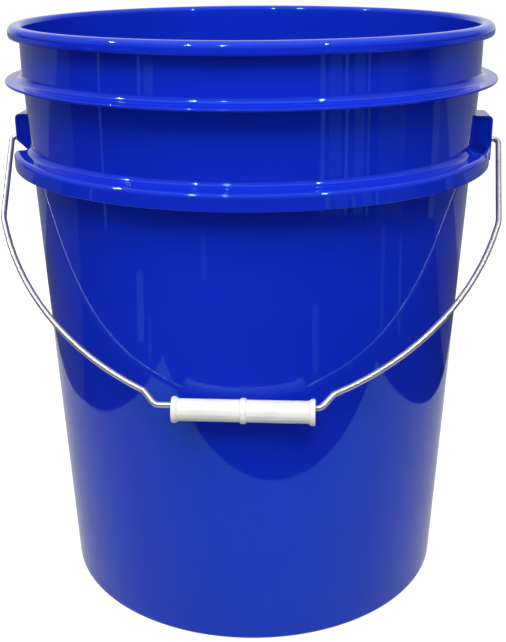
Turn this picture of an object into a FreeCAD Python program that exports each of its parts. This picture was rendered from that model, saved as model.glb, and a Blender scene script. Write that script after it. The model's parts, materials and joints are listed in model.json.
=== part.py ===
"""Open plastic pail with a swinging wire bail and a loose roller grip.

Frame: origin at the centre of the base, +Z up, +X through one bail ear, millimetres.
"""
import FreeCAD
import Part
import Sketcher
import math
import os

DIMS = {
    # moulded pail: heights above the standing plane, radii from its axis
    "TotalHeight": 373.05,
    "WallThick": 2.3,
    "BaseRadius": 130.0,
    "BaseCorner": 3.1,
    "FootInner": 121.5,
    "FootDraft": 1.5,
    "PanelRise": 4.0,
    "PanelThick": 2.3,
    "FloorFillet": 6.0,
    "BaseInner": 128.1,
    "ShoulderRadius": 144.0,
    "NeckRadius": 144.4,
    "RimRadius": 151.0,
    "RimCrown": 3.75,
    "RimLipThick": 2.0,
    "RimLipCorner": 1.7,
    "RimLipDrop": 7.45,
    "RimTopThick": 2.9,
    "RimInner": 142.3,
    "RimInnerCorner": 3.2,
    # thin ring just under the rim
    "CollarRadius": 154.8,
    "CollarTop": 340.45,
    "CollarThick": 1.6,
    "CollarEdge": 0.7,
    "CollarFillet": 4.5,
    # skirted ring that carries the bail ears
    "SkirtRadius": 153.05,
    "SkirtTop": 297.0,
    "SkirtDepth": 10.3,
    "SkirtThick": 2.2,
    "SkirtCrown": 3.2,
    "SkirtFillet": 4.5,
    "SkirtRoot": 141.0,
    "SkirtWallRadius": 142.46,
    "SkirtStripSpan": 71.5,
    "SkirtFreeSpan": 74.0,
    "StripSpan": 19.5,
    # hollow bail ears
    "EarFace": 153.8,
    "EarRoot": 141.0,
    "EarHalfWidth": 12.0,
    "EarTop": 315.0,
    "EarMouth": 299.0,
    "EarFoot": 287.0,
    "EarCrown": 3.0,
    "EarWall": 2.0,
    "EarPanelBack": 144.9,
    "EarPanelDepth": 0.9,
    "EarHollowBack": 143.3,
    "EarHoleRadius": 2.35,
    "PivotHeight": 298.2,
    # bent wire bail, measured in its own plane from the pivot line
    "WireRadius": 1.85,
    "BailTilt": 48.2,
    "RunDepth": 191.2,
    "GripRun": 45.1,
    "RunBend": 5.0,
    "RunTurn": 50.0,
    "JogRun": 8.123,
    "KinkBend": 4.0,
    "KinkTurn": 24.05,
    "BowRadius": 192.75,
    "BowTurn": 46.54,
    "LegBend": 27.0,
    "LegTurn": 13.84,
    "LegRun": 57.16,
    "PinBend": 3.2,
    "PinTurn": 93.67,
    "PinRun": 5.6,
    "HookBend": 3.0,
    "HookTurn": 90.0,
    "HookRun": 4.0,
    # moulded roller grip
    "GripHalf": 41.0,
    "GripShift": 3.4,
    "GripDepth": 194.0,
    "GripRadius": 6.5,
    "GripBore": 4.75,
    "GripEndRadius": 7.7,
    "GripEndWidth": 2.4,
    "GripEndCorner": 0.8,
    "GripRingRadius": 7.4,
    "GripRingHalf": 1.6,
}

# Sketcher's own numbers for a sketch's origin and axes
ROOT_POINT = (-1, 1)
HORIZONTAL_AXIS = -1
VERTICAL_AXIS = -2
SAME_POINT = 1e-6
LEFT = 1
RIGHT = -1


class Size:
    """A sum of named dimensions: its number now, and the expression that drives it."""

    def __init__(self, *terms):
        self.value = 0.0
        self.text = "0"
        for term in terms:
            sign = "-" if term.startswith("-") else "+"
            name = term.lstrip("-")
            self.value += -DIMS[name] if sign == "-" else DIMS[name]
            self.text += f" {sign} Sizes.{name}"


def make_sheet(doc):
    sheet = doc.addObject("Spreadsheet::Sheet", "Sizes")
    for row, (name, number) in enumerate(DIMS.items(), start=1):
        sheet.set(f"A{row}", name)
        sheet.set(f"B{row}", str(number))
        sheet.setAlias(f"B{row}", name)
    doc.recompute()


def make_body(doc, name):
    body = doc.addObject("PartDesign::Body", name.title())
    body.Label = name
    return body


def origin_feature(body, role):
    return next(item for item in body.Origin.OriginFeatures if item.Role == role)


def new_sketch(body, name, plane, offset=None):
    """Sketch on one of the body's own planes, moved along its normal by a named size."""
    sketch = body.newObject("Sketcher::SketchObject", name)
    sketch.AttachmentSupport = [(origin_feature(body, plane), "")]
    sketch.MapMode = "FlatFace"
    if offset is not None:
        sketch.setExpression("AttachmentOffset.Base.z", offset.text)
    return sketch


def drive(sketch, constraint, size):
    """Add a dimension and bind it to the sheet."""
    index = sketch.addConstraint(constraint)
    sketch.setExpression(f"Constraints[{index}]", size.text)


def place_corner(sketch, geometry, point, across, up):
    """Fix a corner by its two distances from the sketch's origin; None puts it on the axis."""
    for kind, size, axis in (("DistanceX", across, VERTICAL_AXIS), ("DistanceY", up, HORIZONTAL_AXIS)):
        if size is None:
            sketch.addConstraint(Sketcher.Constraint("PointOnObject", geometry, point, axis))
        else:
            drive(sketch, Sketcher.Constraint(kind, *ROOT_POINT, geometry, point, size.value), size)


def corner_vector(corner):
    across, up = corner[:2]
    return FreeCAD.Vector(across.value if across else 0.0, up.value if up else 0.0, 0.0)


def arc_between(start, end, radius):
    """Short arc from start to end that turns left for a positive radius, right for a negative one."""
    chord = end - start
    half = chord.Length / 2
    rise = math.sqrt(radius * radius - half * half)
    side = FreeCAD.Vector(-chord.y, chord.x, 0.0).normalize()
    turn = math.copysign(1.0, radius)
    centre = (start + end) / 2 + side * rise * turn
    middle = centre - side * radius
    return Part.Arc(start, middle, end)


def draw_outline(sketch, corners, closed=True):
    """Join corners by lines, or by an arc after a corner that gives one.

    A corner is (across, up) or (across, up, (radius, LEFT or RIGHT)).
    """
    count = len(corners)
    edges = count if closed else count - 1
    for index in range(edges):
        start = corner_vector(corners[index])
        end = corner_vector(corners[(index + 1) % count])
        bulge = corners[index][2] if len(corners[index]) > 2 else None
        if bulge is None:
            sketch.addGeometry(Part.LineSegment(start, end), False)
        else:
            sketch.addGeometry(arc_between(start, end, bulge[0].value * bulge[1]), False)
    ends = [edge_ends(sketch, index, corners) for index in range(edges)]
    for index in range(edges if closed else edges - 1):
        following = (index + 1) % edges
        sketch.addConstraint(Sketcher.Constraint(
            "Coincident", index, ends[index][1], following, ends[following][0]))
    for index in range(edges):
        place_corner(sketch, index, ends[index][0], *corners[index][:2])
        if len(corners[index]) > 2:
            radius = corners[index][2][0]
            drive(sketch, Sketcher.Constraint("Radius", index, radius.value), radius)
    if not closed:
        place_corner(sketch, edges - 1, ends[-1][1], *corners[-1][:2])


def edge_ends(sketch, index, corners):
    """Point numbers of an edge's start and end along the outline (arcs always run left)."""
    start = corner_vector(corners[index])
    first = sketch.getPoint(index, 1)
    return (1, 2) if first.distanceToPoint(start) < SAME_POINT else (2, 1)


def revolve(body, name, sketch, axis, angle=None, reverse=False):
    feature = body.newObject("PartDesign::Revolution", name)
    feature.Profile = sketch
    feature.ReferenceAxis = (sketch, [axis])
    feature.Reversed = reverse
    if angle is not None:
        feature.setExpression("Angle", angle.text)
    return feature


def extrude(body, kind, name, sketch, length, midplane=False, reverse=False):
    feature = body.newObject(f"PartDesign::{kind}", name)
    feature.Profile = sketch
    feature.setExpression("Length", length.text)
    feature.Midplane = midplane
    feature.Reversed = reverse
    return feature


def shell_outline():
    """Half section of the pail, from the floor's underside out, up, over the rim and in."""
    collar_under = Size("CollarTop", "-CollarThick")
    lip_under = Size("TotalHeight", "-RimLipDrop")
    crown_foot = Size("TotalHeight", "-RimCrown")
    return [
        (None, Size("PanelRise")),
        (Size("FootInner", "-FootDraft"), Size("PanelRise")),
        (Size("FootInner"), None),
        (Size("BaseRadius", "-BaseCorner"), None, (Size("BaseCorner"), LEFT)),
        (Size("BaseRadius"), Size("BaseCorner")),
        (Size("ShoulderRadius"), collar_under),
        (Size("CollarRadius", "-CollarEdge"), collar_under, (Size("CollarEdge"), LEFT)),
        (Size("CollarRadius"), Size("CollarTop", "-CollarThick", "CollarEdge")),
        (Size("CollarRadius"), Size("CollarTop", "-CollarEdge"), (Size("CollarEdge"), LEFT)),
        (Size("CollarRadius", "-CollarEdge"), Size("CollarTop")),
        (Size("NeckRadius", "CollarFillet"), Size("CollarTop"), (Size("CollarFillet"), RIGHT)),
        (Size("NeckRadius"), Size("CollarTop", "CollarFillet")),
        (Size("NeckRadius"), Size("TotalHeight", "-RimTopThick")),
        (Size("RimRadius", "-RimLipThick"), Size("TotalHeight", "-RimTopThick")),
        (Size("RimRadius", "-RimLipThick"), lip_under),
        (Size("RimRadius", "-RimLipCorner"), lip_under, (Size("RimLipCorner"), LEFT)),
        (Size("RimRadius"), Size("TotalHeight", "-RimLipDrop", "RimLipCorner")),
        (Size("RimRadius"), crown_foot, (Size("RimCrown"), LEFT)),
        (Size("RimRadius", "-RimCrown"), Size("TotalHeight")),
        (Size("RimInner", "RimInnerCorner"), Size("TotalHeight"), (Size("RimInnerCorner"), LEFT)),
        (Size("RimInner"), Size("TotalHeight", "-RimInnerCorner")),
        (Size("ShoulderRadius", "-WallThick"), Size("CollarTop")),
        (Size("BaseInner"), Size("PanelRise", "PanelThick", "FloorFillet"), (Size("FloorFillet"), RIGHT)),
        (Size("BaseInner", "-FloorFillet"), Size("PanelRise", "PanelThick")),
        (None, Size("PanelRise", "PanelThick")),
    ]


def skirt_outline():
    """Section of the skirted ring: a web rooted in the wall and a skirt hanging from it."""
    foot = Size("SkirtTop", "-SkirtDepth")
    web_under = Size("SkirtTop", "-SkirtThick")
    inside = Size("SkirtRadius", "-SkirtThick")
    return [
        (Size("SkirtRoot"), web_under),
        (inside, web_under),
        (inside, foot),
        (Size("SkirtRadius"), foot),
        (Size("SkirtRadius"), Size("SkirtTop", "-SkirtCrown"), (Size("SkirtCrown"), LEFT)),
        (Size("SkirtRadius", "-SkirtCrown"), Size("SkirtTop")),
        (Size("SkirtWallRadius", "SkirtFillet"), Size("SkirtTop"), (Size("SkirtFillet"), RIGHT)),
        (Size("SkirtWallRadius"), Size("SkirtTop", "SkirtFillet")),
        (Size("SkirtRoot"), Size("SkirtTop", "SkirtFillet")),
    ]


def half_turn(body, name, features):
    """Repeat features on the opposite side of the pail."""
    pattern = body.newObject("PartDesign::PolarPattern", name)
    pattern.Originals = features
    pattern.Axis = (origin_feature(body, "Z_Axis"), [""])
    pattern.Angle = 360.0
    pattern.Occurrences = 2
    body.Tip = pattern
    return pattern


def add_skirt(body):
    """Two arcs of skirted ring that stop short of the ears, a little further on the strip side."""
    sketch = new_sketch(body, "SkirtSection", "YZ_Plane")
    draw_outline(sketch, skirt_outline())
    skirt = revolve(body, "Skirt", sketch, "V_Axis", Size("SkirtStripSpan"))
    skirt.Type = "TwoAngles"
    skirt.setExpression("Angle2", Size("SkirtFreeSpan").text)
    half_turn(body, "SkirtPair", [skirt])


def add_strip(body):
    """Thin continuation of the skirt that runs on from the ring's end to the ear's face."""
    sketch = new_sketch(body, "StripSection", "XZ_Plane")
    foot = Size("SkirtTop", "-SkirtDepth")
    inside = Size("SkirtRadius", "-SkirtThick")
    draw_outline(sketch, [
        (inside, foot),
        (Size("SkirtRadius"), foot),
        (Size("SkirtRadius"), Size("SkirtTop", "-SkirtThick")),
        (inside, Size("SkirtTop", "-SkirtThick")),
    ])
    return revolve(body, "Strip", sketch, "V_Axis", Size("StripSpan"), reverse=True)


def add_ear_block(body):
    sketch = new_sketch(body, "EarSection", "XZ_Plane")
    draw_outline(sketch, [
        (Size("EarRoot"), Size("EarMouth")),
        (Size("EarFace"), Size("EarMouth")),
        (Size("EarFace"), Size("EarTop", "-EarCrown"), (Size("EarCrown"), LEFT)),
        (Size("EarFace", "-EarCrown"), Size("EarTop")),
        (Size("EarRoot"), Size("EarTop")),
    ])
    return extrude(body, "Pad", "Ear", sketch, Size("EarHalfWidth", "EarHalfWidth"), midplane=True)


def add_ear_side(body):
    """Side wall of the ear that carries on down behind the strip."""
    offset = Size("EarHalfWidth", "-EarWall")
    sketch = new_sketch(body, "EarSideSection", "XZ_Plane", offset)
    draw_outline(sketch, [
        (Size("EarRoot"), Size("EarFoot")),
        (Size("EarFace"), Size("EarFoot")),
        (Size("EarFace"), Size("EarMouth")),
        (Size("EarRoot"), Size("EarMouth")),
    ])
    return extrude(body, "Pad", "EarSide", sketch, Size("EarWall"))


def add_ear_gusset(body):
    """Triangular gusset under the ear's free side, from the face back to the pail wall."""
    sketch = new_sketch(body, "EarGussetSection", "XZ_Plane", Size("-EarHalfWidth"))
    draw_outline(sketch, [
        (Size("EarRoot"), Size("EarFoot")),
        (Size("EarFace"), Size("EarMouth")),
        (Size("EarRoot"), Size("EarMouth")),
    ])
    return extrude(body, "Pad", "EarGusset", sketch, Size("EarWall"))


def add_ear_apron(body):
    """Slanted lower part of the ear's face, which surrounds the pivot hole."""
    sketch = new_sketch(body, "EarApronSection", "YZ_Plane", Size("EarFace", "-EarWall"))
    draw_outline(sketch, [
        (Size("-EarHalfWidth"), Size("EarFoot")),
        (Size("EarHalfWidth"), Size("EarMouth")),
        (Size("-EarHalfWidth"), Size("EarMouth")),
    ])
    return extrude(body, "Pad", "EarApron", sketch, Size("EarWall"))


def add_ear_panel(body, name, offset, reverse=False):
    """Shallow recess in one side of the ear, framed by its face, its top and the pail wall."""
    sketch = new_sketch(body, f"{name}Section", "XZ_Plane", offset)
    face_back = Size("EarFace", "-EarWall")
    top_under = Size("EarTop", "-EarWall")
    draw_outline(sketch, [
        (Size("EarPanelBack"), Size("EarMouth")),
        (face_back, Size("EarMouth")),
        (face_back, top_under),
        (Size("EarPanelBack"), top_under),
    ])
    return extrude(body, "Pocket", name, sketch, Size("EarPanelDepth"), reverse=reverse)


def add_ear_hollow(body):
    """Space inside the ear, open underneath, where the hooked wire end swings."""
    sketch = new_sketch(body, "EarHollowSection", "XY_Plane")
    side = Size("EarHalfWidth", "-EarWall")
    other_side = Size("-EarHalfWidth", "EarWall")
    face_back = Size("EarFace", "-EarWall")
    draw_outline(sketch, [
        (Size("EarHollowBack"), other_side),
        (face_back, other_side),
        (face_back, side),
        (Size("EarHollowBack"), side),
    ])
    return extrude(body, "Pocket", "EarHollow", sketch, Size("EarTop", "-EarWall"), reverse=True)


def add_ear_hole(body):
    sketch = new_sketch(body, "EarHoleSection", "YZ_Plane", Size("EarFace", "EarWall"))
    circle = Part.Circle(FreeCAD.Vector(0, DIMS["PivotHeight"], 0), FreeCAD.Vector(0, 0, 1),
                         DIMS["EarHoleRadius"])
    sketch.addGeometry(circle, False)
    place_corner(sketch, 0, 3, None, Size("PivotHeight"))
    radius = Size("EarHoleRadius")
    drive(sketch, Sketcher.Constraint("Radius", 0, radius.value), radius)
    return extrude(body, "Pocket", "EarHole", sketch, Size("EarWall", "EarWall", "EarWall"))


def make_bucket(doc):
    """One injection moulding: shell, rim, collar, skirted ring and two bail ears."""
    body = make_body(doc, "bucket")
    sketch = new_sketch(body, "ShellSection", "XZ_Plane")
    draw_outline(sketch, shell_outline())
    revolve(body, "Shell", sketch, "V_Axis")
    add_skirt(body)
    ear = [
        add_strip(body),
        add_ear_block(body),
        add_ear_side(body),
        add_ear_gusset(body),
        add_ear_apron(body),
        add_ear_panel(body, "EarStripPanel", Size("EarHalfWidth")),
        add_ear_panel(body, "EarFreePanel", Size("-EarHalfWidth"), reverse=True),
        add_ear_hollow(body),
        add_ear_hole(body),
    ]
    half_turn(body, "EarPair", ear)
    return body


def bend_table():
    """Half the wire as bent on the bench: straight runs and (radius, turn) bends in order.

    Turns are in degrees, positive to the left, walking from the middle of the grip run.
    """
    return [
        ("run", "GripRun"),
        ("bend", "RunBend", "-RunTurn"),
        ("run", "JogRun"),
        ("bend", "KinkBend", "KinkTurn"),
        ("bend", "BowRadius", "-BowTurn"),
        ("bend", "LegBend", "-LegTurn"),
        ("run", "LegRun"),
        ("bend", "PinBend", "-PinTurn"),
        ("run", "PinRun"),
        ("bend", "HookBend", "HookTurn"),
        ("run", "HookRun"),
    ]


def draw_run(sketch, at, heading, length):
    end = at + heading * length.value
    index = sketch.addGeometry(Part.LineSegment(at, end), False)
    drive(sketch, Sketcher.Constraint("Distance", index, length.value), length)
    return end, heading


def draw_bend(sketch, at, heading, radius, turn):
    """Arc that leaves `at` along the heading and turns through the given angle."""
    left = FreeCAD.Vector(-heading.y, heading.x, 0.0)
    towards = left if turn.value > 0 else -left
    centre = at + towards * radius.value
    rotation = FreeCAD.Rotation(FreeCAD.Vector(0, 0, 1), turn.value)
    half = FreeCAD.Rotation(FreeCAD.Vector(0, 0, 1), turn.value / 2)
    end = centre + rotation.multVec(at - centre)
    middle = centre + half.multVec(at - centre)
    index = sketch.addGeometry(Part.Arc(at, middle, end), False)
    drive(sketch, Sketcher.Constraint("Radius", index, radius.value), radius)
    span = math.radians(abs(turn.value))
    angle = sketch.addConstraint(Sketcher.Constraint("Angle", index, span))
    sketch.setExpression(f"Constraints[{angle}]", f"abs({turn.text}) * 1 deg")
    return end, rotation.multVec(heading)


def draw_wire_route(sketch):
    """Follow the bend table from the grip run's middle to the hooked end."""
    at = FreeCAD.Vector(0.0, DIMS["RunDepth"], 0.0)
    heading = FreeCAD.Vector(1.0, 0.0, 0.0)
    joint = None
    for index, (kind, *names) in enumerate(bend_table()):
        start = at
        draw = draw_run if kind == "run" else draw_bend
        at, heading = draw(sketch, at, heading, *[Size(name) for name in names])
        first = 1 if sketch.getPoint(index, 1).distanceToPoint(start) < SAME_POINT else 2
        if joint is None:
            place_corner(sketch, index, first, None, Size("RunDepth"))
            sketch.addConstraint(Sketcher.Constraint("Horizontal", index))
        else:
            sketch.addConstraint(Sketcher.Constraint("Tangent", index - 1, joint, index, first))
        joint = 3 - first


def make_bail(doc):
    """Round steel wire bent into a handle, hooked at both ends, leaning on the front wall."""
    body = make_body(doc, "bail")
    route = new_sketch(body, "WireRoute", "XY_Plane")
    draw_wire_route(route)
    section = new_sketch(body, "WireSection", "YZ_Plane")
    circle = Part.Circle(FreeCAD.Vector(DIMS["RunDepth"], 0, 0), FreeCAD.Vector(0, 0, 1),
                         DIMS["WireRadius"])
    section.addGeometry(circle, False)
    place_corner(section, 0, 3, Size("RunDepth"), None)
    radius = Size("WireRadius")
    drive(section, Sketcher.Constraint("Radius", 0, radius.value), radius)
    doc.recompute()
    wire = body.newObject("PartDesign::AdditivePipe", "Wire")
    wire.Profile = section
    wire.Spine = (route, [])
    mirrored = body.newObject("PartDesign::Mirrored", "WirePair")
    mirrored.Originals = [wire]
    mirrored.MirrorPlane = (origin_feature(body, "YZ_Plane"), [""])
    body.Tip = mirrored
    body.Placement.Rotation = FreeCAD.Rotation(FreeCAD.Vector(1, 0, 0), 270 - DIMS["BailTilt"])
    body.setExpression("Placement.Rotation.Angle", "(270 - Sizes.BailTilt) * 1 deg")
    body.setExpression("Placement.Base.z", "Sizes.PivotHeight * 1 mm")
    return body


def make_grip(doc):
    """Hollow moulded sleeve, loose on the wire, with a flange at each end and a middle ring."""
    body = make_body(doc, "grip")
    barrel = new_sketch(body, "BarrelSection", "XY_Plane")
    flange_in = Size("GripHalf", "-GripEndWidth")
    draw_outline(barrel, [
        (Size("-GripHalf"), Size("GripBore")),
        (Size("GripHalf"), Size("GripBore")),
        (Size("GripHalf"), Size("GripEndRadius", "-GripEndCorner"), (Size("GripEndCorner"), LEFT)),
        (Size("GripHalf", "-GripEndCorner"), Size("GripEndRadius")),
        (flange_in, Size("GripEndRadius")),
        (flange_in, Size("GripRadius")),
        (Size("GripRingHalf"), Size("GripRadius")),
        (Size("GripRingHalf"), Size("GripRingRadius")),
        (Size("-GripRingHalf"), Size("GripRingRadius")),
        (Size("-GripRingHalf"), Size("GripRadius")),
        (Size("-GripHalf", "GripEndWidth"), Size("GripRadius")),
        (Size("-GripHalf", "GripEndWidth"), Size("GripEndRadius")),
        (Size("-GripHalf", "GripEndCorner"), Size("GripEndRadius"), (Size("GripEndCorner"), LEFT)),
        (Size("-GripHalf"), Size("GripEndRadius", "-GripEndCorner")),
    ])
    revolve(body, "Barrel", barrel, "H_Axis")
    body.setExpression("Placement.Base.x", "Sizes.GripShift * 1 mm")
    body.setExpression("Placement.Base.y", "-Sizes.GripDepth * sin(Sizes.BailTilt * 1 deg) * 1 mm")
    body.setExpression("Placement.Base.z",
                       "(Sizes.PivotHeight - Sizes.GripDepth * cos(Sizes.BailTilt * 1 deg)) * 1 mm")
    return body


def check(doc):
    """Stop if any object failed to recompute."""
    failed = [item.Name for item in doc.Objects if {"Invalid", "Error"} & set(item.State)]
    if failed:
        raise RuntimeError(f"failed objects: {failed}")


def export(body):
    """Write one finished sub-part under its label."""
    shape = body.Shape
    if shape.isNull() or not shape.isValid() or len(shape.Solids) != 1:
        raise RuntimeError(f"{body.Label} is not one valid solid")
    shape.exportStep(f"parts/{body.Label}.step")
    print(body.Label, round(shape.Volume), "mm3", shape.optimalBoundingBox(True, False))


def main():
    doc = FreeCAD.newDocument("Pail")
    make_sheet(doc)
    bodies = [make_bucket(doc), make_bail(doc), make_grip(doc)]
    doc.recompute()
    check(doc)
    os.makedirs("parts", exist_ok=True)
    for body in bodies:
        export(body)


main()
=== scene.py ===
import json
import math

import bmesh
import bpy
from mathutils import Matrix, Vector


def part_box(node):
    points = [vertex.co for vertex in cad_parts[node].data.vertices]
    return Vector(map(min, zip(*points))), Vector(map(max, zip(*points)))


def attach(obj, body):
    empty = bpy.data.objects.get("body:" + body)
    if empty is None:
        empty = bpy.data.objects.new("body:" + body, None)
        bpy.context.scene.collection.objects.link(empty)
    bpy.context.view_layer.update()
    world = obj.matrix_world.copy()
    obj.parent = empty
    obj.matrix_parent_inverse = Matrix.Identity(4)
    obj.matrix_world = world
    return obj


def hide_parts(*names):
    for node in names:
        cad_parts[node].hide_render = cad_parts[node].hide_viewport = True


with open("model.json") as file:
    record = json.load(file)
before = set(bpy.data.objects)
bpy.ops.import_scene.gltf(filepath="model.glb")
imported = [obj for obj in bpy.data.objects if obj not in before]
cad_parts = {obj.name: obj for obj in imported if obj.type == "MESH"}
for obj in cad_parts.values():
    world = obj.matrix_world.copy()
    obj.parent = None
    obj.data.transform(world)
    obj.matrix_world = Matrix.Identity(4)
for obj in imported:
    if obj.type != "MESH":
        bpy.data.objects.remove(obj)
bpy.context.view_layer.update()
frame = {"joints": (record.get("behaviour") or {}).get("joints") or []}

# ---------------------------------------------------------------------------------------------
# Camera. A normal lens at standing height in front of the pail, looking down into its mouth,
# turned a little so that the right-hand ear comes nearer.
CAMERA_REACH = 0.66887
CAMERA_HEIGHT = 0.41933
CAMERA_TURN = math.radians(3.65)
CAMERA_PITCH = math.radians(20.48)
CAMERA_ROLL = -0.0059
LENS = 57.04

look = Vector((
    -math.sin(CAMERA_TURN) * math.cos(CAMERA_PITCH),
    math.cos(CAMERA_TURN) * math.cos(CAMERA_PITCH),
    -math.sin(CAMERA_PITCH),
))
level_right = Vector((math.cos(CAMERA_TURN), math.sin(CAMERA_TURN), 0.0))
level_up = level_right.cross(look)
right = level_right * math.cos(CAMERA_ROLL) + level_up * math.sin(CAMERA_ROLL)
up = level_up * math.cos(CAMERA_ROLL) - level_right * math.sin(CAMERA_ROLL)

camera = bpy.data.objects.new("camera", bpy.data.cameras.new("camera"))
bpy.context.collection.objects.link(camera)
camera.data.lens = LENS
camera.matrix_world = Matrix((
    (right.x, up.x, -look.x, CAMERA_REACH * math.sin(CAMERA_TURN)),
    (right.y, up.y, -look.y, -CAMERA_REACH * math.cos(CAMERA_TURN)),
    (right.z, up.z, -look.z, CAMERA_HEIGHT),
    (0.0, 0.0, 0.0, 1.0),
))
bpy.context.scene.camera = camera

# ---------------------------------------------------------------------------------------------
# Studio. A white sheet to stand on, an even white tent, one broad soft light overhead, and the
# darker room round the sheet, which only the gloss of the plastic sees.
FLOOR_REACH = 6.0
ROOM_LIFT = 0.0012
TENT_BRIGHTNESS = 0.56
SHEET_TONE = 0.35
SHEET_SEEN = 0.82
SHEET_IN_GLOSS = 0.26
SHEET_CORNERS = {
    # the white sheet lies a little askew under the pail: its corners and points along its sides
    "front left": (-0.328, -0.398), "front right": (0.447, -0.205),
    "mid left": (-0.372, 0.02), "mid right": (0.290, 0.26),
    "back left": (-0.330, 0.62), "back right": (0.230, 0.62),
}


def link(name, mesh):
    obj = bpy.data.objects.new(name, mesh)
    bpy.context.collection.objects.link(obj)
    return obj


def flat_panel(name, corners):
    """One four-cornered panel from its corners in order."""
    mesh = bpy.data.meshes.new(name)
    mesh.from_pydata([Vector(c) for c in corners], [], [(0, 1, 2, 3)])
    return link(name, mesh)


def floor_panel(name, corners, lift=0.0):
    return flat_panel(name, [(x, y, lift) for x, y in corners])


def new_material(name):
    """Empty node material with a Principled surface."""
    material = bpy.data.materials.new(name)
    material.use_nodes = True
    return material, material.node_tree, material.node_tree.nodes["Principled BSDF"]


def add_node(tree, kind, **values):
    """Node of that kind, with its sockets set by name."""
    node = tree.nodes.new(kind)
    for socket, value in values.items():
        node.inputs[socket].default_value = value
    return node


def paper_material():
    """White sheet, exposed up to plain white for the eye without flooding the pail with light."""
    material, tree, surface = new_material("white sheet")
    surface.inputs["Base Color"].default_value = (SHEET_TONE, SHEET_TONE, SHEET_TONE, 1.0)
    surface.inputs["Roughness"].default_value = 0.9
    surface.inputs["Specular IOR Level"].default_value = 0.1
    surface.inputs["Emission Color"].default_value = (1.0, 1.0, 1.0, 1.0)
    path = tree.nodes.new("ShaderNodeLightPath")
    mirrored = tree.nodes.new("ShaderNodeMath")
    mirrored.operation = "MULTIPLY"
    mirrored.inputs[1].default_value = SHEET_IN_GLOSS
    lift = tree.nodes.new("ShaderNodeMath")
    lift.operation = "MULTIPLY_ADD"
    lift.inputs[1].default_value = SHEET_SEEN
    tree.links.new(path.outputs["Is Glossy Ray"], mirrored.inputs[0])
    tree.links.new(path.outputs["Is Camera Ray"], lift.inputs[0])
    tree.links.new(mirrored.outputs[0], lift.inputs[2])
    tree.links.new(lift.outputs[0], surface.inputs["Emission Strength"])
    return material


def glow_material(name, colour, strength):
    """Surface that only gives out light."""
    material, tree, surface = new_material(name)
    tree.nodes.remove(surface)
    glow = add_node(tree, "ShaderNodeEmission", Color=(*colour, 1.0), Strength=strength)
    tree.links.new(glow.outputs[0], tree.nodes["Material Output"].inputs["Surface"])
    return material


def seen_only_in_gloss(obj):
    obj.visible_camera = False
    obj.visible_diffuse = False
    obj.visible_shadow = False
    obj.visible_transmission = False
    obj.visible_volume_scatter = False


NEAR, FAR = -FLOOR_REACH, FLOOR_REACH
floor = floor_panel("floor", [(NEAR, NEAR), (FAR, NEAR), (FAR, FAR), (NEAR, FAR)])
floor.data.materials.append(paper_material())

ROOM = (
    # part of the room's floor, its brightness, its outer corners, the sheet's corners beside it
    ("room_front", 0.022, (NEAR, NEAR), (FAR, NEAR), "front right", "front left"),
    ("room_left", 0.022, (NEAR, 0.02), (NEAR, NEAR), "front left", "mid left"),
    ("room_right", 0.022, (FAR, NEAR), (FAR, 0.26), "mid right", "front right"),
    ("room_left_back", 0.12, (NEAR, 0.62), (NEAR, 0.02), "mid left", "back left"),
    ("room_right_back", 0.12, (FAR, 0.26), (FAR, 0.62), "back right", "mid right"),
)
for name, brightness, first, second, third, fourth in ROOM:
    corners = [first, second, SHEET_CORNERS[third], SHEET_CORNERS[fourth]]
    panel = floor_panel(name, corners, ROOM_LIFT)
    panel.data.materials.append(glow_material(name, (0.9, 0.95, 1.0), brightness))
    seen_only_in_gloss(panel)
room_back = floor_panel("room_back", [(NEAR, 0.62), (FAR, 0.62), (FAR, FAR), (NEAR, FAR)], ROOM_LIFT)
room_back.data.materials.append(glow_material("room back", (0.9, 0.95, 1.0), 0.30))
seen_only_in_gloss(room_back)


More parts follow.
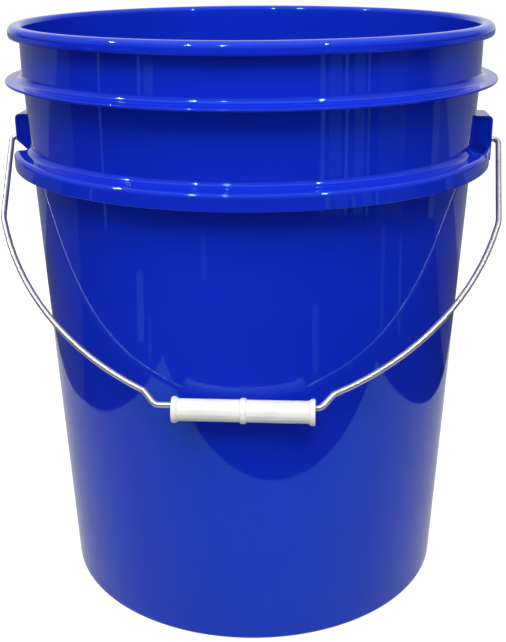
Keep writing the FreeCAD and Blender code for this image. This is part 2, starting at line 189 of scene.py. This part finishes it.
def studio_world():
    """Even white tent; in gloss it is dark to the front and grey overhead."""
    world = bpy.data.worlds.new("studio")
    bpy.context.scene.world = world
    world.use_nodes = True
    tree = world.node_tree
    tent = tree.nodes["Background"]
    tent.inputs["Color"].default_value = (1.0, 1.0, 1.0, 1.0)
    tent.inputs["Strength"].default_value = TENT_BRIGHTNESS
    place = tree.nodes.new("ShaderNodeTexCoord")
    parts = tree.nodes.new("ShaderNodeSeparateXYZ")
    tree.links.new(place.outputs["Generated"], parts.inputs[0])
    back = tree.nodes.new("ShaderNodeMapRange")
    back.interpolation_type = "SMOOTHSTEP"
    back.inputs["From Min"].default_value = 0.55
    back.inputs["From Max"].default_value = 0.9
    back.inputs["To Min"].default_value = 0.04
    back.inputs["To Max"].default_value = 1.0
    tree.links.new(parts.outputs["Y"], back.inputs["Value"])
    high = tree.nodes.new("ShaderNodeMapRange")
    high.interpolation_type = "SMOOTHSTEP"
    high.inputs["From Min"].default_value = 0.02
    high.inputs["From Max"].default_value = 0.3
    high.inputs["To Min"].default_value = 0.0
    high.inputs["To Max"].default_value = 0.55
    tree.links.new(parts.outputs["Z"], high.inputs["Value"])
    total = tree.nodes.new("ShaderNodeMath")
    total.operation = "MAXIMUM"
    tree.links.new(back.outputs[0], total.inputs[0])
    tree.links.new(high.outputs[0], total.inputs[1])
    card = tree.nodes.new("ShaderNodeMapRange")
    card.interpolation_type = "SMOOTHSTEP"
    card.inputs["From Min"].default_value = 0.62
    card.inputs["From Max"].default_value = 0.85
    card.inputs["To Min"].default_value = 0.0
    card.inputs["To Max"].default_value = 0.8
    tree.links.new(parts.outputs["Z"], card.inputs["Value"])
    bright = tree.nodes.new("ShaderNodeMath")
    bright.operation = "ADD"
    tree.links.new(total.outputs[0], bright.inputs[0])
    tree.links.new(card.outputs[0], bright.inputs[1])
    gloss = tree.nodes.new("ShaderNodeBackground")
    tree.links.new(bright.outputs[0], gloss.inputs["Strength"])
    path = tree.nodes.new("ShaderNodeLightPath")
    mix = tree.nodes.new("ShaderNodeMixShader")
    tree.links.new(path.outputs["Is Glossy Ray"], mix.inputs[0])
    tree.links.new(tent.outputs[0], mix.inputs[1])
    tree.links.new(gloss.outputs[0], mix.inputs[2])
    white = add_node(tree, "ShaderNodeBackground", Color=(1.0, 1.0, 1.0, 1.0))
    seen = tree.nodes.new("ShaderNodeMixShader")
    tree.links.new(path.outputs["Is Camera Ray"], seen.inputs[0])
    tree.links.new(mix.outputs[0], seen.inputs[1])
    tree.links.new(white.outputs[0], seen.inputs[2])
    tree.links.new(seen.outputs[0], tree.nodes["World Output"].inputs["Surface"])


def soft_light(name, place, target, size, watts):
    data = bpy.data.lights.new(name, "AREA")
    data.shape = "RECTANGLE"
    data.size, data.size_y = size
    data.energy = watts
    light = bpy.data.objects.new(name, data)
    bpy.context.collection.objects.link(light)
    light.location = place
    light.rotation_mode = "QUATERNION"
    light.rotation_quaternion = (Vector(target) - Vector(place)).to_track_quat("-Z", "Y")
    return light


studio_world()
overhead = soft_light("overhead", (0.0, -1.05, 1.7), (0.0, 0.0, 0.25), (1.3, 0.9), 36.0)
overhead.visible_glossy = False
bpy.context.scene.view_settings.view_transform = "Standard"

# Small ceiling lamps, which show as bright points along the rings, and pale streaks of window
# light on the dark room's floor, which stand as soft upright bands in the gloss of the wall.
LAMP_RADIUS = 0.055
LAMP_REACH = 1.77
LAMP_HEIGHT = 2.1
LAMP_BEARINGS = (-77.5, -29.5, -11.2, 43.3)
STREAK_LIFT = 0.0024
STREAKS = (
    # bearing and width in degrees, near and far reach in metres, brightness
    (36.0, 2.2, 0.95, 4.0, 0.55),
    (42.0, 6.0, 0.95, 4.0, 0.22),
    (47.5, 1.6, 0.95, 4.0, 0.60),
    (54.0, 5.0, 0.95, 4.0, 0.28),
    (58.8, 1.2, 0.95, 4.0, 0.50),
    (72.0, 16.0, 0.95, 4.5, 0.12),
    (102.0, 5.0, 0.95, 4.5, 0.25),
    (-71.0, 1.3, 0.90, 4.5, 0.50),
    (-49.0, 1.4, 2.40, 3.7, 0.70),
    (-44.0, 4.4, 2.40, 3.5, 0.40),
    (-51.5, 3.6, 0.54, 0.74, 0.45),
    (-46.5, 1.6, 0.50, 0.60, 0.35),
    (-19.0, 2.0, 0.72, 0.86, 0.30),
    (32.7, 2.4, 0.48, 0.64, 0.30),
    (68.6, 2.0, 0.56, 0.90, 0.25),
    (80.0, 1.6, 0.54, 0.85, 0.30),
)


def toward(bearing, reach, height):
    """Point at a bearing in degrees from straight ahead of the pail, positive to its right."""
    angle = math.radians(bearing)
    return Vector((reach * math.sin(angle), -reach * math.cos(angle), height))


def add_lamp(number, bearing, glow):
    bulb = bpy.data.meshes.new("lamp")
    build = bmesh.new()
    bmesh.ops.create_uvsphere(build, u_segments=24, v_segments=12, radius=LAMP_RADIUS)
    build.to_mesh(bulb)
    build.free()
    lamp = link(f"lamp_{number}", bulb)
    lamp.location = toward(bearing, LAMP_REACH, LAMP_HEIGHT)
    lamp.data.materials.append(glow)
    seen_only_in_gloss(lamp)


def add_streak(number, bearing, width, near, far, brightness):
    left, right_side = bearing - width / 2, bearing + width / 2
    streak = flat_panel(f"streak_{number}", [
        toward(left, near, STREAK_LIFT), toward(left, far, STREAK_LIFT),
        toward(right_side, far, STREAK_LIFT), toward(right_side, near, STREAK_LIFT),
    ])
    streak.data.materials.append(glow_material("window light", (0.85, 0.93, 1.0), brightness))
    seen_only_in_gloss(streak)


lamp_glow = glow_material("lamp glow", (1.0, 1.0, 1.0), 380.0)
for number, bearing in enumerate(LAMP_BEARINGS):
    add_lamp(number, bearing, lamp_glow)
for number, streak in enumerate(STREAKS):
    add_streak(number, *streak)

# ---------------------------------------------------------------------------------------------
# Pail shell. The floor, tapered wall, rolled rim and thin collar of one injection moulding in
# blue polyethylene, drawn here as one turned skin with every corner rounded as the tool leaves it.
MM = 0.001
ROUND_STEPS = 7
TURN_STEPS = 288

pail_low, pail_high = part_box("bucket")
RIM_TOP = pail_high.z
COLLAR_EDGE = pail_high.x
BASE_RADIUS = 130.0 * MM
WALL = 2.3 * MM
COLLAR_TOP = RIM_TOP - 32.6 * MM
COLLAR_THICK = 1.6 * MM
SHOULDER = 144.0 * MM
NECK = 144.4 * MM
RIM_EDGE = 151.0 * MM
RIM_BORE = 142.3 * MM
RIM_LIP = 7.45 * MM
PANEL_LIFT = 4.0 * MM


def rounded(corners, steps=ROUND_STEPS):
    """Outline through corners (across, up, round radius), each corner replaced by its arc."""
    points = []
    count = len(corners)
    for index, (x, y, radius) in enumerate(corners):
        here = Vector((x, y))
        back = (Vector(corners[index - 1][:2]) - here)
        ahead = (Vector(corners[(index + 1) % count][:2]) - here)
        if radius == 0.0 or back.length == 0.0 or ahead.length == 0.0:
            points.append(here)
            continue
        back.normalize()
        ahead.normalize()
        half = back.angle(ahead) / 2
        reach = radius / math.tan(half)
        centre = here + (back + ahead).normalized() * (radius / math.sin(half))
        first = here + back * reach - centre
        last = here + ahead * reach - centre
        sweep = first.angle_signed(last)
        for step in range(steps + 1):
            turn = -sweep * step / steps
            spun = Matrix.Rotation(turn, 2) @ first
            points.append(centre + spun)
    return points


def turned_skin(name, outline, steps=TURN_STEPS, start=0.0, sweep=2 * math.pi):
    """Closed skin made by turning a closed outline (radius, height) about the upright axis."""
    build = bmesh.new()
    whole = sweep >= 2 * math.pi - 1e-6
    rings = steps if whole else steps + 1
    poles = {}
    rows = []
    for ring in range(rings):
        angle = start + sweep * ring / steps
        row = []
        for index, point in enumerate(outline):
            if whole and point.x < 1e-7:
                if index not in poles:
                    poles[index] = build.verts.new((0.0, 0.0, point.y))
                row.append(poles[index])
            else:
                row.append(build.verts.new((
                    point.x * math.cos(angle), point.x * math.sin(angle), point.y)))
        rows.append(row)
    for ring in range(steps):
        here, there = rows[ring], rows[(ring + 1) % rings]
        for index in range(len(outline)):
            after = (index + 1) % len(outline)
            corners = []
            for vert in (here[index], there[index], there[after], here[after]):
                if vert not in corners:
                    corners.append(vert)
            if len(corners) > 2:
                build.faces.new(corners)
    if not whole:
        build.faces.new(rows[0])
        build.faces.new(list(reversed(rows[-1])))
    return finished(name, build)


def finished(name, build):
    """Object from a bmesh, with outward faces and smooth shading."""
    bmesh.ops.recalc_face_normals(build, faces=build.faces)
    for face in build.faces:
        face.smooth = True
    mesh = bpy.data.meshes.new(name)
    build.to_mesh(mesh)
    build.free()
    return link(name, mesh)


def hold_flats(obj):
    """Keep flat areas flat in the shading, so that only the rounded corners turn."""
    weight = obj.modifiers.new("hold flats", "WEIGHTED_NORMAL")
    weight.keep_sharp = True
    weight.weight = 90
    return obj


def blue_plastic():
    """Glossy blue polyethylene: deep even pigment, faint flow waviness and fine handling scuffs."""
    material, tree, surface = new_material("blue polyethylene")
    surface.inputs["IOR"].default_value = 1.53
    surface.inputs["Specular Tint"].default_value = (0.28, 0.78, 1.0, 1.0)
    place = tree.nodes.new("ShaderNodeTexCoord")
    cloud = add_node(tree, "ShaderNodeTexNoise", Scale=9.0, Detail=3.0, Roughness=0.5)
    tint = tree.nodes.new("ShaderNodeValToRGB")
    tint.color_ramp.elements[0].position = 0.3
    tint.color_ramp.elements[0].color = (0.0045, 0.0200, 0.460, 1.0)
    tint.color_ramp.elements[1].position = 0.7
    tint.color_ramp.elements[1].color = (0.0055, 0.0235, 0.505, 1.0)
    tree.links.new(place.outputs["Object"], cloud.inputs["Vector"])
    tree.links.new(cloud.outputs["Fac"], tint.inputs["Fac"])
    tree.links.new(tint.outputs["Color"], surface.inputs["Base Color"])
    scuff = add_node(tree, "ShaderNodeTexNoise", Scale=60.0, Detail=6.0, Roughness=0.65)
    polish = tree.nodes.new("ShaderNodeMapRange")
    polish.inputs["From Min"].default_value = 0.35
    polish.inputs["From Max"].default_value = 0.75
    polish.inputs["To Min"].default_value = 0.025
    polish.inputs["To Max"].default_value = 0.07
    tree.links.new(place.outputs["Object"], scuff.inputs["Vector"])
    tree.links.new(scuff.outputs["Fac"], polish.inputs["Value"])
    tree.links.new(polish.outputs[0], surface.inputs["Roughness"])
    stretch = add_node(tree, "ShaderNodeMapping", Scale=(1.0, 1.0, 0.35))
    wave = add_node(tree, "ShaderNodeTexNoise", Scale=14.0, Detail=1.0, Roughness=0.4)
    relief = add_node(tree, "ShaderNodeBump", Strength=0.12, Distance=0.0006)
    tree.links.new(place.outputs["Object"], stretch.inputs["Vector"])
    tree.links.new(stretch.outputs[0], wave.inputs["Vector"])
    tree.links.new(wave.outputs["Fac"], relief.inputs["Height"])
    tree.links.new(relief.outputs[0], surface.inputs["Normal"])
    return material


BLUE = blue_plastic()


def as_pail(obj):
    """Finish a blue moulded piece: its plastic, its body and the CAD node it stands for."""
    obj.data.materials.append(BLUE)
    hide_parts("bucket")
    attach(obj, "bucket")
    return hold_flats(obj)


shell_outline = rounded([
    (0.0, PANEL_LIFT, 0.0),
    (119.6 * MM, PANEL_LIFT, 1.2 * MM),
    (121.2 * MM, 0.0, 0.6 * MM),
    (BASE_RADIUS - 0.13 * MM, 0.0, 3.1 * MM),
    (SHOULDER, COLLAR_TOP - COLLAR_THICK, 1.2 * MM),
    (COLLAR_EDGE, COLLAR_TOP - COLLAR_THICK, 0.7 * MM),
    (COLLAR_EDGE, COLLAR_TOP, 0.7 * MM),
    (NECK, COLLAR_TOP, 4.5 * MM),
    (NECK, RIM_TOP - 2.9 * MM, 0.8 * MM),
    (RIM_EDGE - 2.0 * MM, RIM_TOP - 2.9 * MM, 0.5 * MM),
    (RIM_EDGE - 2.0 * MM, RIM_TOP - RIM_LIP, 0.3 * MM),
    (RIM_EDGE, RIM_TOP - RIM_LIP, 1.5 * MM),
    (RIM_EDGE, RIM_TOP, 3.75 * MM),
    (RIM_BORE, RIM_TOP, 3.2 * MM),
    (SHOULDER - WALL, COLLAR_TOP, 0.0),
    (128.0 * MM, PANEL_LIFT + WALL, 6.0 * MM),
    (0.0, PANEL_LIFT + WALL, 0.0),
])
shell = turned_skin("pail_shell", shell_outline)
as_pail(shell)

# ---------------------------------------------------------------------------------------------
# Skirted ring. Two arcs of the same moulding, front and back, with a flat web and a hanging
# skirt. Beside one edge of each ear the web stops and only the skirt runs on to the ear's face.
SKIRT_EDGE = 153.05 * MM
SKIRT_TOP = RIM_TOP - 76.05 * MM
SKIRT_DROP = 10.3 * MM
SKIRT_THICK = 2.2 * MM
SKIRT_ROOT = 141.4 * MM
WALL_AT_SKIRT = 142.27 * MM
FREE_END = math.radians(74.0)
WEB_END = math.radians(71.5)
WEB_STEP = math.radians(0.9)
EAR_SIDE = math.radians(86.0)
RING_STEP = math.radians(1.0)


def skirt_section(web):
    """Section of the ring: the full web at 1, only the outer skirt at 0."""
    strip_back = SKIRT_EDGE - SKIRT_THICK
    root = strip_back - 0.4 * MM + (SKIRT_ROOT - strip_back + 0.4 * MM) * web
    fillet = strip_back + 0.1 * MM + (WALL_AT_SKIRT - strip_back - 0.1 * MM) * web
    crest = SKIRT_TOP + 0.1 * MM + 5.0 * MM * web
    return rounded([
        (root, SKIRT_TOP - SKIRT_THICK, 0.04 * MM),
        (strip_back, SKIRT_TOP - SKIRT_THICK, 0.04 * MM),
        (strip_back, SKIRT_TOP - SKIRT_DROP, 0.6 * MM),
        (SKIRT_EDGE, SKIRT_TOP - SKIRT_DROP, 0.6 * MM),
        (SKIRT_EDGE, SKIRT_TOP, (1.0 + 2.2 * web) * MM),
        (fillet, SKIRT_TOP, (0.04 + 4.46 * web) * MM),
        (fillet, crest, 0.02 * MM),
        (root, crest, 0.02 * MM),
    ])


def inset(outline, amount):
    """The same outline drawn in a little towards its middle, to soften a cut end."""
    middle = sum(outline, Vector((0.0, 0.0))) / len(outline)
    return [point + (middle - point).normalized() * amount for point in outline]


def ring_stations():
    """(angle from +X, section) along one arc of ring, from its free end to the ear's face."""
    soft = math.radians(0.25)
    free_end = -math.pi / 2 - FREE_END
    web_end = -math.pi / 2 + WEB_END
    face_end = -math.pi / 2 + EAR_SIDE
    full = skirt_section(1.0)
    stations = [(free_end, inset(full, 0.45 * MM)), (free_end + soft, full)]
    steps = round((web_end - free_end) / RING_STEP)
    stations += [(free_end + (web_end - free_end) * step / steps, full) for step in range(1, steps)]
    for step in range(7):
        share = step / 6
        web = 1.0 - share * share * (3.0 - 2.0 * share)
        stations.append((web_end + WEB_STEP * share, skirt_section(web)))
    strip = skirt_section(0.0)
    start = web_end + WEB_STEP
    steps = round((face_end - start) / RING_STEP)
    stations += [(start + (face_end - start) * step / steps, strip) for step in range(1, steps + 1)]
    return stations


def swept_ring(name, half_turns):
    build = bmesh.new()
    rows = []
    for angle, outline in ring_stations():
        turn = angle + half_turns * math.pi
        rows.append([
            build.verts.new((p.x * math.cos(turn), p.x * math.sin(turn), p.y)) for p in outline])
    for here, there in zip(rows, rows[1:]):
        for index in range(len(here)):
            after = (index + 1) % len(here)
            build.faces.new((here[index], there[index], there[after], here[after]))
    build.faces.new(rows[0])
    build.faces.new(rows[-1])
    return finished(name, build)


for half_turns, side in enumerate(("front", "back")):
    as_pail(swept_ring(f"skirted_ring_{side}", half_turns))

# ---------------------------------------------------------------------------------------------
# Bail ears. Two hollow boxes of the same moulding, open underneath, with a hole through the
# outer face for the wire and a foot that slants up towards the side where the ring stops short.
EAR_FACE = 153.8 * MM
EAR_BACK = 141.3 * MM
EAR_HALF = 12.0 * MM
EAR_TOP = RIM_TOP - 58.05 * MM
EAR_FOOT = EAR_TOP - 28.0 * MM
EAR_MOUTH = EAR_TOP - 16.0 * MM
EAR_WALL = 2.0 * MM
EAR_PANEL_BACK = 144.9 * MM
EAR_PANEL_DEPTH = 0.9 * MM
EAR_HOLLOW_BACK = 143.3 * MM
EAR_HOLE = 2.35 * MM
swing = next(joint for joint in frame["joints"] if joint["name"] == "bail_swing")
PIVOT_HEIGHT = swing["pos_m"][2]


def add_block(build, corners):
    """Six-sided block from its eight corners: four below, then the four above them."""
    verts = [build.verts.new(corner) for corner in corners]
    for loop in ((3, 2, 1, 0), (4, 5, 6, 7), (0, 1, 5, 4), (1, 2, 6, 5), (2, 3, 7, 6), (3, 0, 4, 7)):
        build.faces.new([verts[index] for index in loop])


def block(name, corners):
    build = bmesh.new()
    add_block(build, corners)
    return finished(name, build)


def box_corners(low, high):
    ring = ((low[0], low[1]), (high[0], low[1]), (high[0], high[1]), (low[0], high[1]))
    return [(x, y, z) for z in (low[2], high[2]) for x, y in ring]


def cut_by(obj, cutter):
    """Cut one closed mesh from another and drop the cutter."""
    cut = obj.modifiers.new("cut", "BOOLEAN")
    cut.operation = "DIFFERENCE"
    cut.solver = "EXACT"
    cut.object = cutter
    apply_modifiers(obj)
    bpy.data.objects.remove(cutter)


def apply_modifiers(obj):
    graph = bpy.context.evaluated_depsgraph_get()
    mesh = bpy.data.meshes.new_from_object(obj.evaluated_get(graph))
    obj.modifiers.clear()
    obj.data = mesh


def round_edges(obj, width, segments, angle=30.0):
    bevel = obj.modifiers.new("round edges", "BEVEL")
    bevel.width = width
    bevel.segments = segments
    bevel.limit_method = "ANGLE"
    bevel.angle_limit = math.radians(angle)
    bevel.use_clamp_overlap = True


def ear_blank(name):
    """Solid outside shape of the ear: its top outer corner rounded, its foot still level."""
    profile = rounded([
        (EAR_BACK, EAR_FOOT, 0.0),
        (EAR_FACE, EAR_FOOT, 0.0),
        (EAR_FACE, EAR_TOP, 3.0 * MM),
        (EAR_BACK, EAR_TOP, 0.0),
    ], steps=8)
    build = bmesh.new()
    near = [build.verts.new((p.x, -EAR_HALF, p.y)) for p in profile]
    far = [build.verts.new((p.x, EAR_HALF, p.y)) for p in profile]
    for index in range(len(profile)):
        after = (index + 1) % len(profile)
        build.faces.new((near[index], near[after], far[after], far[index]))
    build.faces.new(near)
    build.faces.new(far)
    return finished(name, build)


def foot_cutter():
    """Wedge that slants the foot: low by the ring's skirt, high on the free side's face."""
    past = 2.0 * MM
    below = EAR_FOOT - 20.0 * MM
    return block("foot cutter", [
        (EAR_BACK - past, -EAR_HALF - past, below),
        (EAR_FACE + past, -EAR_HALF - past, below),
        (EAR_FACE + past, EAR_HALF + past, below),
        (EAR_BACK - past, EAR_HALF + past, below),
        (EAR_BACK - past, -EAR_HALF - past, EAR_FOOT - past),
        (EAR_FACE + past, -EAR_HALF - past, EAR_FOOT - 1.0 * MM),
        (EAR_FACE + past, EAR_HALF + past, EAR_MOUTH + 1.0 * MM),
        (EAR_BACK - past, EAR_HALF + past, EAR_FOOT - past),
    ])


def hole_cutter():
    build = bmesh.new()
    bmesh.ops.create_cone(
        build, cap_ends=True, segments=48, radius1=EAR_HOLE, radius2=EAR_HOLE, depth=12 * MM,
        matrix=Matrix.Translation((EAR_FACE, 0.0, PIVOT_HEIGHT)) @ Matrix.Rotation(math.pi / 2, 4, "Y"))
    return finished("hole cutter", build)


def panel_cutter(side):
    """Shallow recess in one side of the ear, framed by its face, its top and the pail wall."""
    floor_at, past = side * (EAR_HALF - EAR_PANEL_DEPTH), side * (EAR_HALF + 2.0 * MM)
    return block("panel cutter", box_corners(
        (EAR_PANEL_BACK, min(floor_at, past), EAR_MOUTH),
        (EAR_FACE - EAR_WALL, max(floor_at, past), EAR_TOP - EAR_WALL)))


def make_ear(name, half_turns):
    ear = ear_blank(name)
    hollow = block("hollow cutter", box_corners(
        (EAR_HOLLOW_BACK, -EAR_HALF + EAR_WALL, EAR_FOOT - 5 * MM),
        (EAR_FACE - EAR_WALL, EAR_HALF - EAR_WALL, EAR_TOP - EAR_WALL)))
    for cutter in (hollow, foot_cutter(), hole_cutter(), panel_cutter(-1), panel_cutter(1)):
        cut_by(ear, cutter)
    ear.data.transform(Matrix.Rotation(half_turns * math.pi, 4, "Z"))
    round_edges(ear, 0.6 * MM, 3)
    return as_pail(ear)


for half_turns, side in enumerate(("right", "left")):
    make_ear(f"bail_ear_{side}", half_turns)

# ---------------------------------------------------------------------------------------------
# Wire bail. One length of zinc-plated 3.7 mm drawn steel wire, bent cold on a bench: a jog at
# each end of the grip, one even bow, straight legs, and a hook clipped through each ear.
WIRE_RADIUS = 1.84 * MM
RUN_DEPTH = 191.2 * MM
BEND_TABLE = (
    # straight run, or bend radius and turn in degrees (left is positive)
    (45.1,),
    (5.0, -50.0),
    (8.123,),
    (4.0, 24.05),
    (192.75, -46.54),
    (27.0, -13.84),
    (57.16,),
    (3.2, -93.67),
    (5.6,),
    (3.0, 90.0),
    (4.0,),
)
WIRE_SIDES = 24
bail_low, bail_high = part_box("bail")
grip_spin = next(joint for joint in frame["joints"] if joint["name"] == "grip_spin")
grip_drop = Vector((0.0, grip_spin["pos_m"][1], grip_spin["pos_m"][2] - PIVOT_HEIGHT))
BAIL_DOWN = grip_drop.normalized()


def half_wire_route():
    """Points and headings along half the wire in its own plane, from the grip run outwards."""
    at = Vector((0.0, RUN_DEPTH))
    heading = Vector((1.0, 0.0))
    route = [(at.copy(), heading.copy())]
    for entry in BEND_TABLE:
        if len(entry) == 1:
            at = at + heading * entry[0] * MM
            route.append((at.copy(), heading.copy()))
            continue
        radius, turn = entry[0] * MM, math.radians(entry[1])
        side = Vector((-heading.y, heading.x)) * math.copysign(1.0, turn)
        centre = at + side * radius
        steps = max(6, round(abs(turn) / math.radians(3.0)))
        arm, first = at - centre, heading
        for step in range(1, steps + 1):
            spin = Matrix(((math.cos(turn * step / steps), -math.sin(turn * step / steps)),
                           (math.sin(turn * step / steps), math.cos(turn * step / steps))))
            at = centre + spin @ arm
            heading = spin @ first
            route.append((at.copy(), heading.copy()))
    return route


def in_bail_plane(point):
    """Place in the frame of a point of the bail's own plane (across, down from the pivots)."""
    return Vector((point.x, 0.0, PIVOT_HEIGHT)) + BAIL_DOWN * point.y


def wire_mesh(name):
    half = half_wire_route()
    mirrored = [(Vector((-p.x, p.y)), Vector((h.x, -h.y))) for p, h in reversed(half[1:])]
    route = mirrored + half
    build = bmesh.new()
    flat = Vector((1.0, 0.0, 0.0)).cross(BAIL_DOWN).normalized()
    rows = []
    last = len(route) - 1

    def ring(point, heading, radius):
        along = (Vector((1.0, 0.0, 0.0)) * heading.x + BAIL_DOWN * heading.y).normalized()
        side = along.cross(flat)
        middle = in_bail_plane(point)
        rows.append([
            build.verts.new(middle + (side * math.cos(a) + flat * math.sin(a)) * radius)
            for a in (2 * math.pi * k / WIRE_SIDES for k in range(WIRE_SIDES))])

    chamfer = 0.45 * MM
    for index, (point, heading) in enumerate(route):
        if index == 0:
            ring(point, heading, WIRE_RADIUS - chamfer)
            ring(point + heading * chamfer, heading, WIRE_RADIUS)
        elif index == last:
            ring(point - heading * chamfer, heading, WIRE_RADIUS)
            ring(point, heading, WIRE_RADIUS - chamfer)
        else:
            ring(point, heading, WIRE_RADIUS)
    for here, there in zip(rows, rows[1:]):
        for index in range(WIRE_SIDES):
            after = (index + 1) % WIRE_SIDES
            build.faces.new((here[index], here[after], there[after], there[index]))
    build.faces.new(rows[0])
    build.faces.new(rows[-1])
    return finished(name, build)


def zinc_wire():
    """Bright zinc plate on drawn steel: a fine grain in its polish and relief, and a few dull patches.
    """
    material, tree, surface = new_material("zinc-plated wire")
    surface.inputs["Metallic"].default_value = 0.88
    place = tree.nodes.new("ShaderNodeTexCoord")
    patch = add_node(tree, "ShaderNodeTexNoise", Scale=45.0, Detail=4.0, Roughness=0.6)
    tone = tree.nodes.new("ShaderNodeValToRGB")
    tone.color_ramp.elements[0].position = 0.3
    tone.color_ramp.elements[0].color = (0.52, 0.52, 0.53, 1.0)
    tone.color_ramp.elements[1].position = 0.7
    tone.color_ramp.elements[1].color = (0.66, 0.66, 0.67, 1.0)
    tree.links.new(place.outputs["Object"], patch.inputs["Vector"])
    tree.links.new(patch.outputs["Fac"], tone.inputs["Fac"])
    tree.links.new(tone.outputs["Color"], surface.inputs["Base Color"])
    fine = add_node(tree, "ShaderNodeTexNoise", Scale=900.0, Detail=3.0, Roughness=0.6)
    dull = tree.nodes.new("ShaderNodeMapRange")
    dull.inputs["To Min"].default_value = 0.32
    dull.inputs["To Max"].default_value = 0.40
    tree.links.new(place.outputs["Object"], fine.inputs["Vector"])
    tree.links.new(fine.outputs["Fac"], dull.inputs["Value"])
    tree.links.new(dull.outputs[0], surface.inputs["Roughness"])
    relief = add_node(tree, "ShaderNodeBump", Strength=0.04, Distance=0.0001)
    tree.links.new(fine.outputs["Fac"], relief.inputs["Height"])
    tree.links.new(relief.outputs[0], surface.inputs["Normal"])
    return material


wire = wire_mesh("wire_bail")
wire.data.materials.append(zinc_wire())
hold_flats(wire)
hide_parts("bail")
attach(wire, "bail")

# ---------------------------------------------------------------------------------------------
# Roller grip. A hollow sleeve moulded in white plastic, slipped loose over the wire, with a
# flange at each end, a raised ring at the middle and the tool's parting line along both sides.
grip_low, grip_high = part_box("grip")
GRIP_HALF = (grip_high.x - grip_low.x) / 2
GRIP_MIDDLE = Vector(grip_spin["pos_m"])
GRIP_FLANGE = (grip_high.z - grip_low.z) / 2
GRIP_BARREL = 6.5 * MM
GRIP_BORE = 4.75 * MM
GRIP_RING = 7.4 * MM
FLANGE_WIDTH = 2.4 * MM
RING_HALF = 1.6 * MM
GRIP_STEPS = 96
SEAM_RISE = 0.16 * MM
SEAM_HALF = math.radians(2.4)


def half_grip_outline(sign):
    """Outer corners of one half of the sleeve, from the middle ring to the end."""
    flange_in = GRIP_HALF - FLANGE_WIDTH
    corners = [
        (RING_HALF, GRIP_RING, 0.7 * MM),
        (RING_HALF + 0.2 * MM, GRIP_BARREL, 0.5 * MM),
        (flange_in - 1.6 * MM, GRIP_BARREL, 2.4 * MM),
        (flange_in, GRIP_FLANGE, 0.5 * MM),
        (GRIP_HALF, GRIP_FLANGE, 0.8 * MM),
        (GRIP_HALF, GRIP_BORE, 0.5 * MM),
    ]
    return [(sign * x, y, r) for x, y, r in corners]


def grip_mesh(name):
    outline = rounded(half_grip_outline(1) + half_grip_outline(-1)[::-1], steps=4)
    build = bmesh.new()
    rows = []
    for step in range(GRIP_STEPS):
        angle = 2 * math.pi * step / GRIP_STEPS
        off_seam = min(abs(math.sin(angle)), 1.0)
        seam = SEAM_RISE * max(0.0, 1.0 - off_seam / math.sin(SEAM_HALF))
        row = []
        for point in outline:
            raised = point.y + (seam if GRIP_BORE + 1.0 * MM < point.y < GRIP_FLANGE - 0.9 * MM else 0.0)
            row.append(build.verts.new((point.x, raised * math.cos(angle), raised * math.sin(angle))))
        rows.append(row)
    for here, there in zip(rows, rows[1:] + rows[:1]):
        for index in range(len(outline)):
            after = (index + 1) % len(outline)
            build.faces.new((here[index], there[index], there[after], here[after]))
    grip = finished(name, build)
    grip.data.transform(Matrix.Translation(GRIP_MIDDLE))
    return grip


def white_plastic():
    """Semi-gloss white polyethylene, slightly translucent, with a fine moulded grain."""
    material, tree, surface = new_material("white polyethylene")
    surface.inputs["Subsurface Weight"].default_value = 0.25
    surface.inputs["Subsurface Scale"].default_value = 0.002
    surface.inputs["Subsurface Radius"].default_value = (1.0, 0.9, 0.8)
    surface.inputs["IOR"].default_value = 1.5
    place = tree.nodes.new("ShaderNodeTexCoord")
    cloud = add_node(tree, "ShaderNodeTexNoise", Scale=80.0, Detail=4.0, Roughness=0.6)
    tint = tree.nodes.new("ShaderNodeValToRGB")
    tint.color_ramp.elements[0].position = 0.3
    tint.color_ramp.elements[0].color = (0.68, 0.68, 0.65, 1.0)
    tint.color_ramp.elements[1].position = 0.65
    tint.color_ramp.elements[1].color = (0.75, 0.75, 0.73, 1.0)
    tree.links.new(place.outputs["Object"], cloud.inputs["Vector"])
    tree.links.new(cloud.outputs["Fac"], tint.inputs["Fac"])
    tree.links.new(tint.outputs["Color"], surface.inputs["Base Color"])
    grain = add_node(tree, "ShaderNodeTexNoise", Scale=1400.0, Detail=2.0, Roughness=0.5)
    polish = tree.nodes.new("ShaderNodeMapRange")
    polish.inputs["To Min"].default_value = 0.28
    polish.inputs["To Max"].default_value = 0.42
    tree.links.new(place.outputs["Object"], grain.inputs["Vector"])
    tree.links.new(grain.outputs["Fac"], polish.inputs["Value"])
    tree.links.new(polish.outputs[0], surface.inputs["Roughness"])
    relief = add_node(tree, "ShaderNodeBump", Strength=0.1, Distance=0.0001)
    tree.links.new(grain.outputs["Fac"], relief.inputs["Height"])
    tree.links.new(relief.outputs[0], surface.inputs["Normal"])
    return material


grip = grip_mesh("roller_grip")
grip.data.materials.append(white_plastic())
hold_flats(grip)
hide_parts("grip")
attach(grip, "grip")
